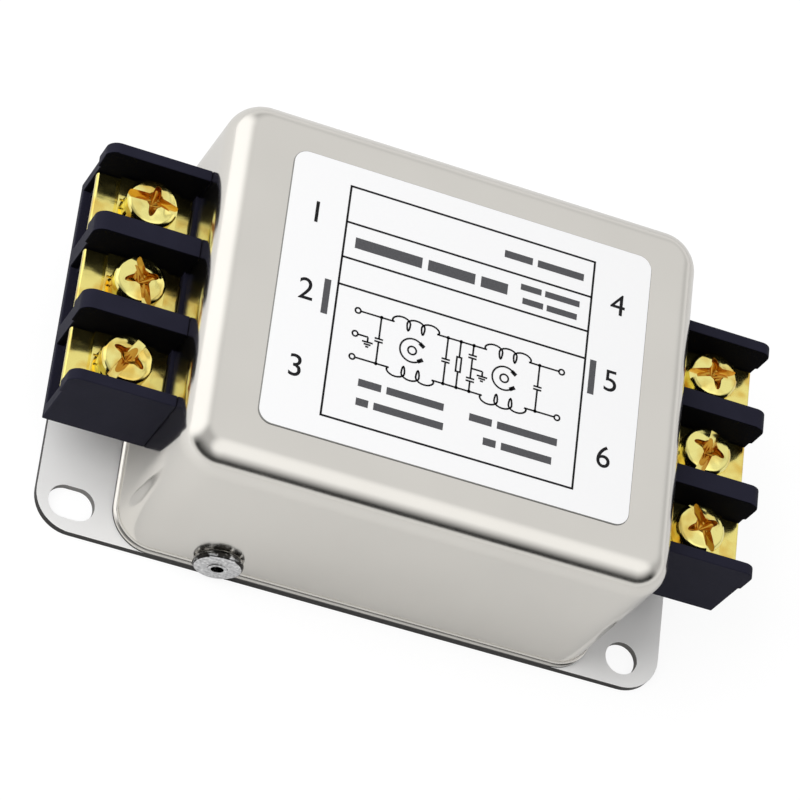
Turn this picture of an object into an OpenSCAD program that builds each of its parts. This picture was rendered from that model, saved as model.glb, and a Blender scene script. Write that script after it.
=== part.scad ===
// EMI line filter: a drawn steel can riveted to a flanged base plate, with a
// three-way barrier terminal block at each end and a two-stage filter inside.
// Origin: middle of the base plate's underside. +X runs to the load end, +Z up.

/* [Can] */
// Length over the end walls
can_l = 64; // [60:0.5:80]
// Width over the long walls, without the foot
can_w = 51.5; // [50:0.1:70]
// Height of the can above the base plate
can_h = 27.3; // [26:0.1:40]
// Thickness of the drawn sheet
can_wall = 0.8; // [0.5:0.1:1]
// Radius of the upright corners
can_corner_r = 5; // [4.5:0.1:8]
// Radius of the edge round the top
can_top_r = 4.2; // [2:0.1:4.4]
// How far the trimmed foot stands out from the walls
foot_flare = 0.35; // [0.1:0.05:0.6]
// Height of the trimmed foot
foot_h = 0.6; // [0.3:0.1:1.5]

/* [Base plate] */
// Length of each mounting flange beyond the end wall
flange_l = 10.15; // [9:0.05:14]
// Thickness of the plate
base_t = 1; // [0.8:0.1:1.5]
// Corner radius of the flanges
flange_corner_r = 5; // [3:0.5:8]
// Diameter of the round holes and width of the slots
hole_d = 4.4; // [3.5:0.1:5]
// End-to-end length of the two slots
slot_l = 6; // [5.5:0.1:7]
// From the load end's flange edge to the centres of its round holes
hole_inset_x = 5.1; // [4.5:0.05:5.6]
// From the line end's flange edge to the centres of its slots
slot_inset_x = 4.65; // [4.5:0.05:5.2]
// From a long edge to the hole centres
hole_inset_y = 3.95; // [3.8:0.05:6]
// Width of the ears turned up inside the can
ear_w = 10; // [8:0.5:14]
// Height of the ears above the plate's underside
ear_h = 8; // [7:0.5:12]

/* [Rivets] */
// Diameter of the rivet body
rivet_d = 3.2; // [2.4:0.1:3.4]
// Diameter of the rivet head
rivet_head_d = 6.4; // [5:0.1:6.6]
// Height of the rivet head
rivet_head_h = 1.1; // [0.6:0.1:1.6]
// Distance of each rivet from the middle of the can
rivet_x = 18.7; // [12:0.1:22]
// Height of the rivets above the underside
rivet_z = 3.8; // [3.6:0.1:4.6]

/* [Rating label] */
// Length of the label
label_l = 48.6; // [30:0.1:50]
// Width of the label
label_w = 38.3; // [20:0.1:40]
// Corner radius of the label
label_r = 1.9; // [0.5:0.1:4]
// Thickness of the label
label_t = 0.2; // [0.1:0.05:0.4]
// How far the label sits towards the load end
label_shift = 0.4; // [-1:0.1:1]
// How far the label sits towards the rear
label_rise = 0.2; // [-1:0.1:1]

/* [Terminal blocks] */
// Distance from one terminal to the next
pitch = 11; // [10:0.1:12]
// Thickness of the two barriers between terminals
barrier_t = 2.7; // [1.6:0.1:3]
// Thickness of the two end barriers
end_barrier_t = 1.5; // [1:0.1:3]
// How far the block stands out from the can
block_out = 13.4; // [12.6:0.1:16]
// Height of the block's underside above the base's underside
block_z = 9.7; // [8.5:0.1:10]
// Height of the block
block_h = 12.1; // [11:0.1:13]
// Radius of the barriers' upper outer corners
barrier_r = 1.6; // [0.5:0.1:2.5]
// How far the barriers' tops overhang the body below
barrier_step = 0.3; // [0.1:0.05:0.6]
// Thickness of the floor under the nut pockets
pocket_floor = 1.2; // [0.8:0.1:1.5]
// Height of the strips' seat above the block's underside
seat_h = 5.9; // [5.5:0.1:6.5]
// Depth of the full-width mouth of each nut pocket
mouth_depth = 1; // [0.5:0.1:2]
// Reach of the spigot beyond the inside of the end wall
spigot_in = 3; // [2:0.1:4]
// Material of the spigot over and beside the strips
lintel_t = 0.9; // [0.6:0.1:1.5]
// How far the lintel stands proud of the can
lintel_out = 0.4; // [0.2:0.1:0.8]

/* [Terminals] */
// Thickness of the brass strips
strip_t = 0.8; // [0.5:0.1:1.2]
// Width of a strip where it passes the wall
neck_w = 5.2; // [3:0.1:6]
// Width of the tail soldered into the board
tail_w = 3; // [2:0.1:4]
// Distance of the screws from the end wall
screw_out = 6.3; // [5.4:0.1:7.2]
// Thickness of the square clamp plates
clamp_t = 0.8; // [0.5:0.1:1.2]
// Outside diameter of the spring washers
washer_d = 6.2; // [5.5:0.1:6.6]
// Thickness of the spring washers
washer_t = 1; // [0.6:0.1:1.2]
// Width of the spring washers' split
washer_split = 0.5; // [0.2:0.1:1]
// Diameter of the screw thread
screw_d = 3.5; // [3:0.1:4]
// Length of the screw below its head
screw_l = 7; // [5:0.1:7.2]
// Diameter of the screw head
head_d = 6.6; // [6:0.1:7]
// Height of the screw head
head_h = 2.4; // [1.8:0.1:3]
// Side of the square nuts
nut_side = 6; // [5.5:0.1:6.2]
// Thickness of the square nuts
nut_t = 2.2; // [1.6:0.1:3]

/* [Board and tray] */
// Thickness of the tray's floor
tray_t = 0.8; // [0.6:0.1:1.2]
// Thickness of the tray's rim
tray_rim = 1.2; // [0.8:0.1:2]
// Height of the board above the tray's floor
board_stand = 2.7; // [2.2:0.1:4]
// Thickness of the board
board_t = 1.6; // [1:0.1:2]
// Gap between the board's ends and the can
board_end_gap = 2.2; // [1:0.1:2.6]
// Gap between the board's sides and the can
board_side_gap = 3.65; // [3.6:0.05:4.5]
// Length of pins and tails below the board
pin_out = 1.5; // [0.5:0.1:1.8]

/* [Chokes] */
// Outside diameter of the toroid cores
core_d = 20; // [18:0.5:21]
// Bore of the toroid cores
core_bore = 12.4; // [12.4:0.1:13]
// Height of the toroid cores
core_h = 8; // [5:0.5:14]
// Diameter of the enamelled wire
wire_d = 1.3; // [0.8:0.1:1.3]
// Turns in each winding
turns = 8; // [4:1:8]
// Angle from one turn to the next
turn_step = 16; // [16:0.5:17]
// Thickness of the divider in each core
divider_t = 1; // [0.6:0.1:1.6]

/* [Capacitors and resistor] */
// Length of a capacitor across the line
x_cap_l = 13; // [8:0.5:14]
// Thickness of a capacitor across the line
x_cap_t = 5.5; // [4:0.5:6]
// Height of a capacitor across the line
x_cap_h = 11; // [6:0.5:16]
// Distance between the capacitors across the line
x_cap_pitch = 16; // [15:0.5:18]
// Diameter of a capacitor to earth
y_cap_d = 8; // [5:0.5:9]
// Thickness of a capacitor to earth
y_cap_t = 3.5; // [2:0.1:4]
// Distance of each capacitor to earth from the middle
y_cap_x = 13; // [12:0.5:15]
// Diameter of the bleed resistor
resistor_d = 3.3; // [2:0.1:3.6]
// Length of the bleed resistor
resistor_l = 9; // [6:0.5:10]
// Diameter of the components' leads
lead_d = 0.8; // [0.5:0.1:1]

/* [Hidden] */
$fn = 64;
// Clearances
slide_gap = 0.1;
pin_gap = 0.1;
ear_gap = 0.05;
pad_gap = 0.15;
thread_gap = 0.05;
eps = 0.01;

// Plan of the can and plate
base_l = can_l + 2 * flange_l;
base_w = can_w + 2 * foot_flare;
face_x = can_l / 2;
inner_x = face_x - can_wall;
inner_y = can_w / 2 - can_wall;
can_top = base_t + can_h;
hole_x = base_l / 2 - hole_inset_x;
slot_x = base_l / 2 - slot_inset_x;
hole_y = base_w / 2 - hole_inset_y;

// Ears lanced out of the plate, and what is riveted to them
ear_bend = 0.2;
ear_face = inner_y - ear_bend - ear_gap;
ear_inner = ear_face - base_t;
ear_relief = 1;
rivet_hole_d = rivet_d + 2 * slide_gap;
rivet_bulb_d = rivet_d + 1.4;
rivet_bulb_l = 1.8;
mandrel_d = 1.6;
mandrel_ring_w = 0.45;
mandrel_ring_h = 0.15;

// Terminal blocks
ways = 3;
comp_w = pitch - barrier_t;
block_w = ways * comp_w + (ways - 1) * barrier_t + 2 * end_barrier_t;
block_end = face_x + block_out;
block_top = block_z + block_h;
seat_z = block_z + seat_h;
strip_top = seat_z + strip_t;
lintel_z = strip_top + slide_gap;
lintel_top = lintel_z + lintel_t;
barrier_foot = lintel_top;
spigot_w = block_w - 2 * end_barrier_t;
spigot_z = block_z + pocket_floor;
spigot_x = inner_x - spigot_in;
hook_out = 0.8;
hook_l = 1.6;
hook_h = 3;
ledge_w = 0.65;
pocket_w = comp_w - 2 * ledge_w;
screw_x = face_x + screw_out;
pocket_gap = 0.3;

// Terminal hardware
pad_w = comp_w - 2 * pad_gap;
pad_edge_r = 0.35;
tail_bend = 0.4;
tail_x = spigot_x - tail_bend - strip_t;
clamp_side = comp_w - 4 * pad_gap;
clamp_top = strip_top + clamp_t;
groove_l = 0.7;
groove_w = 0.3;
groove_depth = 0.25;
groove_inset = 0.2;
groove_y = 0.6;
screw_tip = 0.4;
head_z = clamp_top + washer_t;
head_crown_r = head_d;
slot_w = 1.2;
slot_depth = 0.8;
cross_w = 1.3;
cross_d = 4.3;
cross_depth = 1.7;
star_d = 2.7;
line_slot_angles = [-7, 111, 61];
load_slot_angles = [12, 74, 118];
line_split_angles = [200, 250, 215];
load_split_angles = [235, 190, 260];

// Board, tray and parts on the board
board_l = 2 * (inner_x - board_end_gap);
board_w = 2 * (inner_y - board_side_gap);
board_z = base_t + tray_t + board_stand;
board_top = board_z + board_t;
post_d = 4;
post_pin_d = 2;
post_pin_up = 1;
post_inset = 1;
post_x = board_l / 2 - post_d / 2 - post_inset;
post_y = board_w / 2 - post_d / 2;

// Earth connection under the rear rivet
lug_t = 0.6;
lug_d = 5;
lug_w = 2.6;
lug_top = board_top + 2.4;
earth_lead_d = 1.2;
earth_lead_up = 0.8;
earth_y = board_w / 2 - tray_rim - pin_gap - earth_lead_d / 2;
lug_reach = ear_inner - earth_y + lug_w / 2;

// Chokes, capacitors and resistor
turn_gap = 0.1;
wire_bend = 1;
core_edge_r = 0.8;
choke_gap = 0.3;
choke_spread = 1;
core_z = board_top + wire_d + turn_gap;
turn_in = core_bore / 2 - turn_gap - wire_d / 2;
turn_out = core_d / 2 + turn_gap + wire_d / 2;
choke_r = turn_out + wire_d / 2;
choke_x = choke_r + choke_spread;
choke_y = earth_y - lug_w / 2 - choke_gap - choke_r;
winding_half = (turns - 1) * turn_step / 2;
board_edge = 1.75;
x_cap_y = -board_w / 2 + board_edge + x_cap_t / 2;
y_cap_y = (x_cap_y + x_cap_t / 2 + choke_y - choke_r) / 2;
y_cap_stand = 1;
x_cap_r = 0.6;
lead_reach = 2;
lead_inset = 1.5;
resistor_span = resistor_l + 2 * lead_reach;
x_lead_span = x_cap_l - 2 * lead_inset;
y_lead_span = y_cap_d - 2;

// Terminal n of 1 to 3, counted from the rear
function way_y(n) = (2 - n) * pitch;
// Barrier i of 0 to 3: its middle and its thickness
function barrier_y(i) =
    i == 0 ? -(block_w - end_barrier_t) / 2 :
    i == ways ? (block_w - end_barrier_t) / 2 : (i - ways / 2) * pitch;
function barrier_width(i) = (i == 0 || i == ways) ? end_barrier_t : barrier_t;

// ---- shared shapes ----

module rounded_rect(l, w, r) {
    square([l - 2 * r, w], center = true);
    square([l, w - 2 * r], center = true);
    for (sx = [-1, 1], sy = [-1, 1])
        translate([sx * (l / 2 - r), sy * (w / 2 - r)]) circle(r);
}

module slot_shape(l, w) {
    square([l - w, w], center = true);
    for (s = [-1, 1]) translate([s * (l - w) / 2, 0]) circle(d = w);
}

// Upright edge of a drawn shell: rc wide, h high, upper outer corner of radius rt
module shell_edge(rc, h, rt) {
    square([rc, h - rt]);
    square([rc - rt, h]);
    intersection() {
        translate([rc - rt, h - rt]) circle(rt);
        square([rc, h]);
    }
}

// Block with upright corners of radius rc and a top edge of radius rt
module drawn_form(l, w, h, rc, rt) {
    flat_l = l - 2 * rc;
    flat_w = w - 2 * rc;
    translate([-flat_l / 2, -flat_w / 2, 0]) cube([flat_l, flat_w, h]);
    for (a = [0, 180]) rotate(a) {
        translate([flat_l / 2, flat_w / 2, 0]) rotate([90, 0, 0])
            linear_extrude(flat_w) shell_edge(rc, h, rt);
        translate([-flat_l / 2, flat_w / 2, 0]) rotate([90, 0, 90])
            linear_extrude(flat_l) shell_edge(rc, h, rt);
        translate([flat_l / 2, flat_w / 2, 0])
            rotate_extrude(angle = 90) shell_edge(rc, h, rt);
        translate([-flat_l / 2, flat_w / 2, 0]) rotate(90)
            rotate_extrude(angle = 90) shell_edge(rc, h, rt);
    }
}

// Sheet turned down at its left end: outer corner at the origin
module elbow(run, drop, t, bend) {
    ro = bend + t;
    translate([ro, -t]) square([run - ro, t]);
    translate([0, -drop]) square([t, drop - ro]);
    intersection() {
        translate([0, -ro]) square(ro);
        translate([ro, -ro]) difference() {
            circle(ro);
            if (bend > 0) circle(bend);
        }
    }
}

// One turn of square wire in the XZ plane, w by h on its centre line
module wire_turn(w, h, bend, d) {
    rotate([90, 0, 0]) linear_extrude(d, center = true) difference() {
        rounded_rect(w + d, h + d, bend + d / 2);
        rounded_rect(w - d, h - d, bend - d / 2);
    }
}

// The load end is drawn at +X, and the line end is its mirror image
module at_end(side) {
    mirror([side < 0 ? 1 : 0, 0, 0]) children();
}

function end_angle(side, a) = side < 0 ? 180 - a : a;

// ---- can, plate, rivets and label ----

module block_window() {
    translate([spigot_x, -spigot_w / 2 - slide_gap, spigot_z - slide_gap])
        cube([spigot_in + can_wall + 1, spigot_w + 2 * slide_gap,
            lintel_top - spigot_z + 2 * slide_gap]);
}

module rivet_holes() {
    for (s = [-1, 1])
        translate([s * rivet_x, s * can_w / 2, rivet_z]) rotate([90, 0, 0])
            cylinder(d = rivet_hole_d, h = 4 * (can_wall + base_t), center = true);
}

module case() {
    color("gainsboro") difference() {
        translate([0, 0, base_t]) union() {
            drawn_form(can_l, can_w, can_h, can_corner_r, can_top_r);
            linear_extrude(foot_h)
                rounded_rect(can_l + 2 * foot_flare, base_w, can_corner_r + foot_flare);
        }
        translate([0, 0, base_t - eps])
            drawn_form(can_l - 2 * can_wall, can_w - 2 * can_wall,
                can_h - can_wall + eps, can_corner_r - can_wall, can_top_r - can_wall);
        at_end(1) block_window();
        at_end(-1) block_window();
        rivet_holes();
    }
}

// Ear bent up from its window in the plate, hinged along the window's outer side
module ear() {
    hinge_l = base_w / 2 - foot_flare - ear_inner;
    translate([rivet_x - ear_w / 2, ear_inner, 0]) rotate([90, 0, 90]) mirror([0, 1, 0])
        linear_extrude(ear_w) elbow(hinge_l, ear_h, base_t, ear_bend);
}

module ear_window() {
    translate([rivet_x - ear_w / 2 - ear_relief, ear_face - ear_h, -eps])
        cube([ear_w + 2 * ear_relief, ear_h + ear_bend, base_t + 2 * eps]);
}

// The ears stand on opposite sides, half a turn apart
module at_ears() {
    for (a = [0, 180]) rotate(a) children();
}

module base_plate() {
    color("silver") difference() {
        union() {
            difference() {
                linear_extrude(base_t) rounded_rect(base_l, base_w, flange_corner_r);
                at_ears() ear_window();
            }
            at_ears() ear();
        }
        for (sy = [-1, 1]) {
            translate([hole_x, sy * hole_y, -eps])
                cylinder(d = hole_d, h = base_t + 2 * eps);
            translate([-slot_x, sy * hole_y, -eps]) linear_extrude(base_t + 2 * eps)
                slot_shape(slot_l, hole_d);
        }
        rivet_holes();
    }
}

module blind_rivet(stack) {
    rotate_extrude() difference() {
        union() {
            // Head with a rounded rim and a raised ring round the mandrel hole
            square([rivet_head_d / 2 - rivet_head_h / 2, rivet_head_h]);
            translate([rivet_head_d / 2 - rivet_head_h / 2, rivet_head_h / 2])
                circle(rivet_head_h / 2);
            square([mandrel_d / 2 + mandrel_ring_w, rivet_head_h + mandrel_ring_h]);
            // Body through the stack and the bulb behind it
            translate([0, -stack]) square([rivet_d / 2, stack + eps]);
            translate([0, -stack - rivet_bulb_l]) square([rivet_bulb_d / 2, rivet_bulb_l]);
        }
        square([mandrel_d / 2, rivet_head_h + 1]);
        translate([-rivet_head_d, -stack]) square([rivet_head_d, 2 * stack]);
        translate([rivet_bulb_d / 2, -stack - rivet_bulb_l]) circle(rivet_bulb_l / 2);
    }
}

module case_rivets() {
    color("whitesmoke") {
        translate([-rivet_x, -can_w / 2, rivet_z]) rotate([90, 0, 0])
            blind_rivet(can_w / 2 - ear_inner);
        translate([rivet_x, can_w / 2, rivet_z]) rotate([-90, 0, 0])
            blind_rivet(can_w / 2 - ear_inner + lug_t);
    }
}

module rating_label() {
    color("white") translate([label_shift, label_rise, can_top])
        linear_extrude(label_t) rounded_rect(label_l, label_w, label_r);
}

// ---- terminal blocks ----

// Side view of a barrier: overhanging top with a rounded outer corner
module barrier_side() {
    translate([face_x, block_z])
        square([block_out - barrier_step, barrier_foot - block_z]);
    translate([face_x, barrier_foot])
        square([block_out, block_h - barrier_foot + block_z - barrier_r]);
    translate([face_x, barrier_foot])
        square([block_out - barrier_r, block_top - barrier_foot]);
    translate([block_end - barrier_r, block_top - barrier_r]) circle(barrier_r);
}

// Snap hook on the spigot, tapered towards the inside of the can
module spigot_hook() {
    linear_extrude(hook_h)
        polygon([[0, 0], [0, hook_out], [-hook_l, 0]]);
}

module nut_pocket() {
    x0 = screw_x - nut_side / 2 - pocket_gap;
    translate([x0, -pocket_w / 2, spigot_z])
        cube([block_end - x0 + 1, pocket_w, seat_z - spigot_z + eps]);
    translate([block_end - barrier_step - mouth_depth, -comp_w / 2, spigot_z])
        cube([mouth_depth + barrier_step + 1, comp_w, seat_z - spigot_z + eps]);
}

module terminal_block() {
    difference() {
        union() {
            translate([face_x, -block_w / 2, block_z])
                cube([block_out - barrier_step, block_w, seat_h]);
            for (i = [0 : ways])
                translate([0, barrier_y(i) + barrier_width(i) / 2, 0]) rotate([90, 0, 0])
                    linear_extrude(barrier_width(i)) barrier_side();
            translate([spigot_x, -spigot_w / 2, spigot_z])
                cube([face_x - spigot_x + lintel_out, spigot_w, lintel_top - spigot_z]);
            for (s = [0, 1]) mirror([0, s, 0])
                translate([inner_x - slide_gap, spigot_w / 2, (spigot_z + lintel_top - hook_h) / 2])
                    spigot_hook();
        }
        for (n = [1 : ways]) translate([0, way_y(n), 0]) {
            nut_pocket();
            translate([spigot_x - 1, -neck_w / 2 - slide_gap, seat_z])
                cube([block_out, neck_w + 2 * slide_gap, strip_t + slide_gap]);
        }
    }
}

module line_terminal_block() {
    color([0.10, 0.09, 0.13]) at_end(-1) terminal_block();
}

module load_terminal_block() {
    color([0.10, 0.09, 0.13]) at_end(1) terminal_block();
}

// ---- terminals ----

module terminal_strip(n) {
    pad_x = face_x + lintel_out + slide_gap;
    pad_l = block_end - barrier_step - slide_gap - pad_x;
    translate([0, way_y(n), 0]) difference() {
        union() {
            // Pad with its upper outer edge rounded
            translate([pad_x, pad_w / 2, seat_z]) rotate([90, 0, 0]) linear_extrude(pad_w) {
                square([pad_l, strip_t - pad_edge_r]);
                square([pad_l - pad_edge_r, strip_t]);
                translate([pad_l - pad_edge_r, strip_t - pad_edge_r]) circle(pad_edge_r);
            }
            // Neck through the spigot, and the tail turned down into the board
            translate([spigot_x, -neck_w / 2, seat_z])
                cube([pad_x - spigot_x + eps, neck_w, strip_t]);
            translate([tail_x, tail_w / 2, strip_top]) rotate([90, 0, 0]) linear_extrude(tail_w)
                elbow(spigot_x - tail_x + eps, strip_top - board_z + pin_out, strip_t, tail_bend);
        }
        translate([screw_x, 0, seat_z - eps])
            cylinder(d = screw_d + 2 * slide_gap, h = strip_t + 2 * eps);
    }
}

module line_terminal_1() { color("gold") at_end(-1) terminal_strip(1); }
module line_terminal_2() { color("gold") at_end(-1) terminal_strip(2); }
module line_terminal_3() { color("gold") at_end(-1) terminal_strip(3); }
module load_terminal_1() { color("gold") at_end(1) terminal_strip(1); }
module load_terminal_2() { color("gold") at_end(1) terminal_strip(2); }
module load_terminal_3() { color("gold") at_end(1) terminal_strip(3); }

// Square plate that holds the wire, with two short grooves at its outer edge
module clamp_plates() {
    for (n = [1 : ways]) translate([screw_x, way_y(n), strip_top]) difference() {
        translate([0, 0, clamp_t / 2]) cube([clamp_side, clamp_side, clamp_t], center = true);
        translate([0, 0, -eps]) cylinder(d = screw_d + 2 * slide_gap, h = clamp_t + 2 * eps);
        for (s = [-1, 1])
            translate([clamp_side / 2 - groove_inset - groove_l, s * groove_y - groove_w / 2,
                clamp_t - groove_depth]) cube([groove_l, groove_w, 1]);
    }
}

module line_clamp_plates() { color("khaki") at_end(-1) clamp_plates(); }
module load_clamp_plates() { color("khaki") at_end(1) clamp_plates(); }

module spring_washers(side, angles) {
    split = 2 * asin(washer_split / washer_d);
    for (n = [1 : ways])
        translate([screw_x, way_y(n), clamp_top]) rotate(end_angle(side, angles[n - 1]))
            rotate_extrude(angle = 360 - split)
                translate([screw_d / 2 + slide_gap, 0])
                    square([(washer_d - screw_d) / 2 - slide_gap, washer_t]);
}

module line_spring_washers() {
    color("goldenrod") at_end(-1) spring_washers(-1, line_split_angles);
}

module load_spring_washers() {
    color("goldenrod") at_end(1) spring_washers(1, load_split_angles);
}

module recess_cone(d) {
    translate([0, 0, head_h - cross_depth])
        cylinder(d1 = cross_w, d2 = d, h = cross_depth + eps);
}

// Tapered cross recess with a wide middle, and a slot right across the head
module screw_recess(angle) {
    rotate(angle) {
        intersection() {
            union() for (a = [0, 90]) rotate(a)
                translate([0, 0, head_h]) cube([cross_d, cross_w, 2 * cross_depth], center = true);
            recess_cone(cross_d);
        }
        recess_cone(star_d);
        translate([0, 0, head_h + 1 - slot_depth])
            cube([head_d + 1, slot_w, 2], center = true);
    }
}

module terminal_screws(side, angles) {
    for (n = [1 : ways]) translate([screw_x, way_y(n), head_z]) {
        difference() {
            rotate_extrude() intersection() {
                square([head_d / 2, head_h]);
                translate([0, head_h - head_crown_r]) circle(head_crown_r);
            }
            screw_recess(end_angle(side, angles[n - 1]));
        }
        translate([0, 0, screw_tip - screw_l])
            cylinder(d = screw_d, h = screw_l - screw_tip + eps);
        translate([0, 0, -screw_l])
            cylinder(d1 = screw_d - 2 * screw_tip, d2 = screw_d, h = screw_tip);
    }
}

module line_terminal_screws() {
    color("gold") at_end(-1) terminal_screws(-1, line_slot_angles);
}

module load_terminal_screws() {
    color("gold") at_end(1) terminal_screws(1, load_slot_angles);
}

module terminal_nuts() {
    for (n = [1 : ways]) translate([screw_x, way_y(n), seat_z - nut_t]) difference() {
        translate([0, 0, nut_t / 2]) cube([nut_side, nut_side, nut_t], center = true);
        translate([0, 0, -eps]) cylinder(d = screw_d + 2 * thread_gap, h = nut_t + 2 * eps);
    }
}

module line_terminal_nuts() { color("silver") at_end(-1) terminal_nuts(); }
module load_terminal_nuts() { color("silver") at_end(1) terminal_nuts(); }

// ---- tray and board ----

module at_posts() {
    for (sx = [-1, 1], sy = [-1, 1]) translate([sx * post_x, sy * post_y, 0]) children();
}

module insulating_tray() {
    color("ivory") translate([0, 0, base_t]) {
        difference() {
            linear_extrude(tray_t + board_stand) square([board_l, board_w], center = true);
            translate([0, 0, tray_t]) linear_extrude(board_stand + eps)
                square([board_l - 2 * tray_rim, board_w - 2 * tray_rim], center = true);
        }
        at_posts() {
            cylinder(d = post_d, h = tray_t + board_stand);
            cylinder(d = post_pin_d, h = tray_t + board_stand + board_t + post_pin_up);
        }
    }
}

// Places, on the board, of everything that passes through it
module at_winding_ends(side, half) {
    translate([side * choke_x, choke_y, 0])
        for (s = [-1, 1]) rotate(half * 90 + s * winding_half) translate([turn_out, 0, 0])
            children();
}

module at_x_leads(i) {
    for (s = [-1, 1]) translate([i * x_cap_pitch + s * x_lead_span / 2, x_cap_y, 0]) children();
}

module at_y_leads(side) {
    for (s = [-1, 1]) translate([side * y_cap_x + s * y_lead_span / 2, y_cap_y, 0]) children();
}

module board_hole(d) {
    translate([0, 0, board_z - eps]) cylinder(d = d + 2 * pin_gap, h = board_t + 2 * eps);
}

module circuit_board() {
    color("darkgreen") difference() {
        translate([0, 0, board_z]) linear_extrude(board_t)
            square([board_l, board_w], center = true);
        at_posts() board_hole(post_pin_d);
        for (side = [-1, 1]) {
            for (half = [-1, 1]) at_winding_ends(side, half) board_hole(wire_d * sqrt(2));
            at_y_leads(side) board_hole(lead_d);
            for (n = [1 : ways])
                translate([side * (tail_x + strip_t / 2), way_y(n), board_z + board_t / 2])
                    cube([strip_t + 2 * pin_gap, tail_w + 2 * pin_gap, 2 * board_t], center = true);
        }
        for (i = [-1 : 1]) at_x_leads(i) board_hole(lead_d);
        for (s = [-1, 1]) translate([s * resistor_span / 2, y_cap_y, 0]) board_hole(lead_d);
        translate([rivet_x, earth_y, 0]) board_hole(earth_lead_d);
    }
}

// ---- chokes ----

module choke_core(side) {
    color("darkslategray") translate([side * choke_x, choke_y, core_z]) rotate_extrude()
        translate([(core_d + core_bore) / 4, core_h / 2])
            rounded_rect((core_d - core_bore) / 2, core_h, core_edge_r);
}

// Divider fitted in the bore of a core, between its two windings
module choke_divider(side) {
    color("ivory") translate([side * choke_x, choke_y, core_z + core_h / 2])
        intersection() {
            cube([core_bore, divider_t, core_h], center = true);
            cylinder(d = core_bore - 2 * thread_gap, h = core_h, center = true);
        }
}

// Turns round one half of a core, joined under it, with both ends led into the board
module winding(side, half) {
    turn_w = turn_out - turn_in;
    turn_h = core_h + 2 * turn_gap + wire_d;
    low = core_z - turn_gap - wire_d / 2;
    link = 0.8 * wire_d;
    chord = 2 * turn_out * sin(turn_step / 2);
    color("chocolate") {
        translate([side * choke_x, choke_y, 0]) {
            for (i = [0 : turns - 1])
                rotate(half * 90 - winding_half + i * turn_step)
                    translate([(turn_in + turn_out) / 2, 0, low + turn_h / 2])
                        wire_turn(turn_w, turn_h, wire_bend, wire_d);
            for (i = [0 : turns - 2])
                rotate(half * 90 - winding_half + (i + 0.5) * turn_step)
                    translate([turn_out * cos(turn_step / 2), 0, low + wire_bend + link])
                        cube([link, chord, link], center = true);
        }
        at_winding_ends(side, half) translate([-wire_d / 2, -wire_d / 2, board_z - pin_out])
            cube([wire_d, wire_d, low + 2 * wire_bend - board_z + pin_out]);
    }
}

module line_choke_core() { choke_core(-1); }
module load_choke_core() { choke_core(1); }
module line_choke_divider() { choke_divider(-1); }
module load_choke_divider() { choke_divider(1); }
module line_choke_live_winding() { winding(-1, 1); }
module line_choke_neutral_winding() { winding(-1, -1); }
module load_choke_live_winding() { winding(1, 1); }
module load_choke_neutral_winding() { winding(1, -1); }

// ---- capacitors and resistor ----

module lead_down(top) {
    translate([0, 0, board_z - pin_out]) cylinder(d = lead_d, h = top - board_z + pin_out);
}

module x_capacitor(i) {
    color("goldenrod") {
        translate([i * x_cap_pitch, x_cap_y, board_top]) linear_extrude(x_cap_h)
            rounded_rect(x_cap_l, x_cap_t, x_cap_r);
        at_x_leads(i) lead_down(board_top + eps);
    }
}

module y_capacitor(side) {
    color("royalblue") {
        translate([side * y_cap_x, y_cap_y, board_top + y_cap_stand + y_cap_d / 2])
            rotate([90, 0, 0]) rotate_extrude() intersection() {
                rounded_rect(y_cap_d, y_cap_t, y_cap_t / 3);
                translate([0, -y_cap_t]) square([y_cap_d, 2 * y_cap_t]);
            }
        at_y_leads(side) lead_down(board_top + y_cap_stand + y_cap_d / 2);
    }
}

module line_x_capacitor() { x_capacitor(-1); }
module middle_x_capacitor() { x_capacitor(0); }
module load_x_capacitor() { x_capacitor(1); }
module line_y_capacitor() { y_capacitor(-1); }
module load_y_capacitor() { y_capacitor(1); }

module bleed_resistor() {
    axis_z = board_top + resistor_d / 2;
    bend = lead_d;
    color("tan") {
        translate([0, y_cap_y, axis_z]) rotate([0, 90, 0])
            cylinder(d = resistor_d, h = resistor_l, center = true);
        translate([0, y_cap_y, axis_z]) rotate([0, 90, 0])
            cylinder(d = lead_d, h = resistor_span - 2 * bend, center = true);
        for (s = [0, 1]) mirror([s, 0, 0]) {
            translate([resistor_span / 2 - bend, y_cap_y, axis_z - bend]) rotate([90, 0, 0])
                rotate_extrude(angle = 90) translate([bend, 0]) circle(d = lead_d);
            translate([resistor_span / 2, y_cap_y, 0]) lead_down(axis_z - bend);
        }
    }
}

// ---- earth connection ----

module earth_lug() {
    color("lightsteelblue") difference() {
        union() {
            translate([rivet_x, ear_inner, rivet_z]) rotate([90, 0, 0])
                cylinder(d = lug_d, h = lug_t);
            translate([rivet_x + lug_w / 2, ear_inner, lug_top]) rotate([90, 0, -90])
                linear_extrude(lug_w) elbow(lug_reach, lug_top - rivet_z, lug_t, ear_bend);
        }
        rivet_holes();
        translate([rivet_x, earth_y, lug_top - 2 * lug_t])
            cylinder(d = earth_lead_d + 2 * pin_gap, h = 4 * lug_t);
    }
}

module earth_lead() {
    color("limegreen") translate([rivet_x, earth_y, board_z - pin_out])
        cylinder(d = earth_lead_d, h = lug_top - board_z + pin_out + earth_lead_up);
}

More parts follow.
